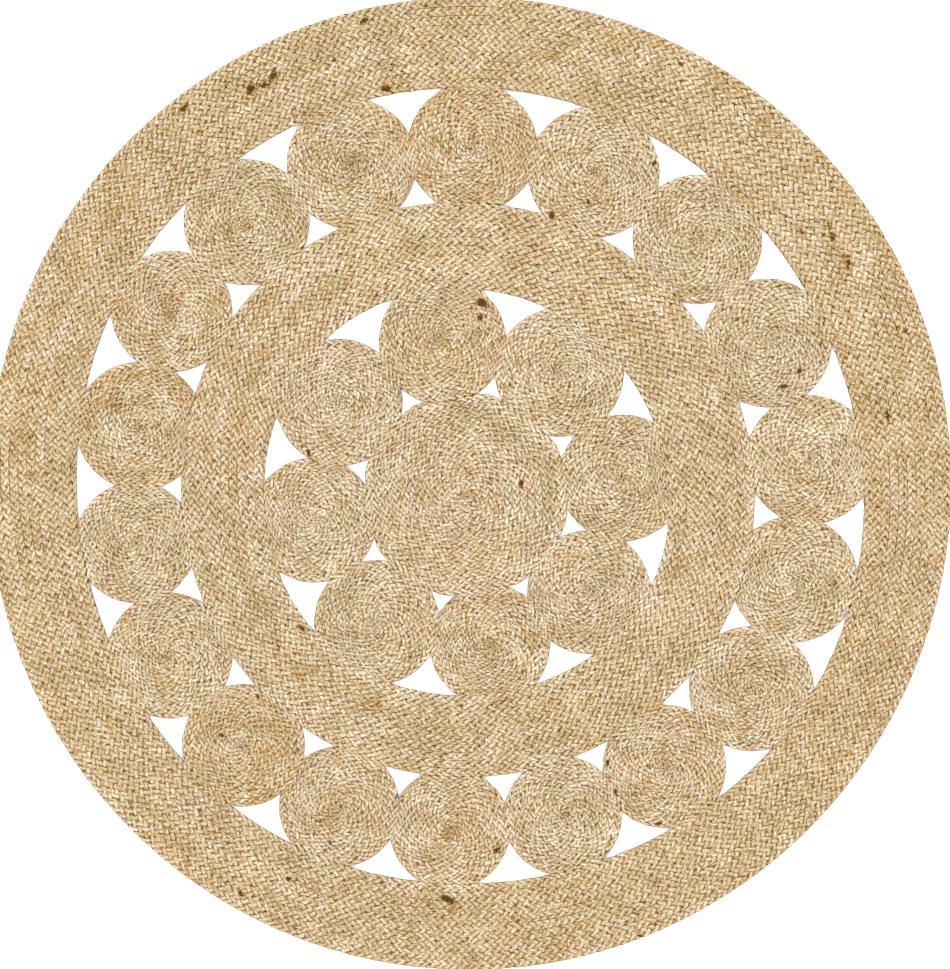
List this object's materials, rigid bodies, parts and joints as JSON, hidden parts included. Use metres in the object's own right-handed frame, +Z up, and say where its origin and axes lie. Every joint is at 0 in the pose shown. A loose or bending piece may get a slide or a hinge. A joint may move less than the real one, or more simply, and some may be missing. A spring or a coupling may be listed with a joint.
{
  "type": "round jute rug",
  "caption": "Round openwork rug of flat jute braid: two wide rings, rows of small coils between them and a larger coil in the middle.",
  "frame": {"origin": "the middle of the rug's bounding box, on the floor under it", "axes": "+Z up out of the rug's face, +Y towards the top of the rug as pictured from above, +X to its right"},
  "size_m": [1.1934, 1.2054, 0.0078],
  "materials": {
    "jute": "matt natural plant fibre, plaited"
  },
  "bodies": {
    "root": {"outer_ring": "jute", "outer_coil_01": "jute", "outer_coil_02": "jute", "outer_coil_03": "jute", "outer_coil_04": "jute", "outer_coil_05": "jute", "outer_coil_06": "jute", "outer_coil_07": "jute", "outer_coil_08": "jute", "outer_coil_09": "jute", "outer_coil_10": "jute", "outer_coil_11": "jute", "outer_coil_12": "jute", "outer_coil_13": "jute", "outer_coil_14": "jute", "outer_coil_15": "jute", "outer_coil_16": "jute", "outer_coil_17": "jute", "outer_coil_18": "jute", "middle_ring": "jute", "inner_coil_01": "jute", "inner_coil_02": "jute", "inner_coil_03": "jute", "inner_coil_04": "jute", "inner_coil_05": "jute", "inner_coil_06": "jute", "inner_coil_07": "jute", "inner_coil_08": "jute", "centre_coil": "jute"}
  },
  "joints": []
}
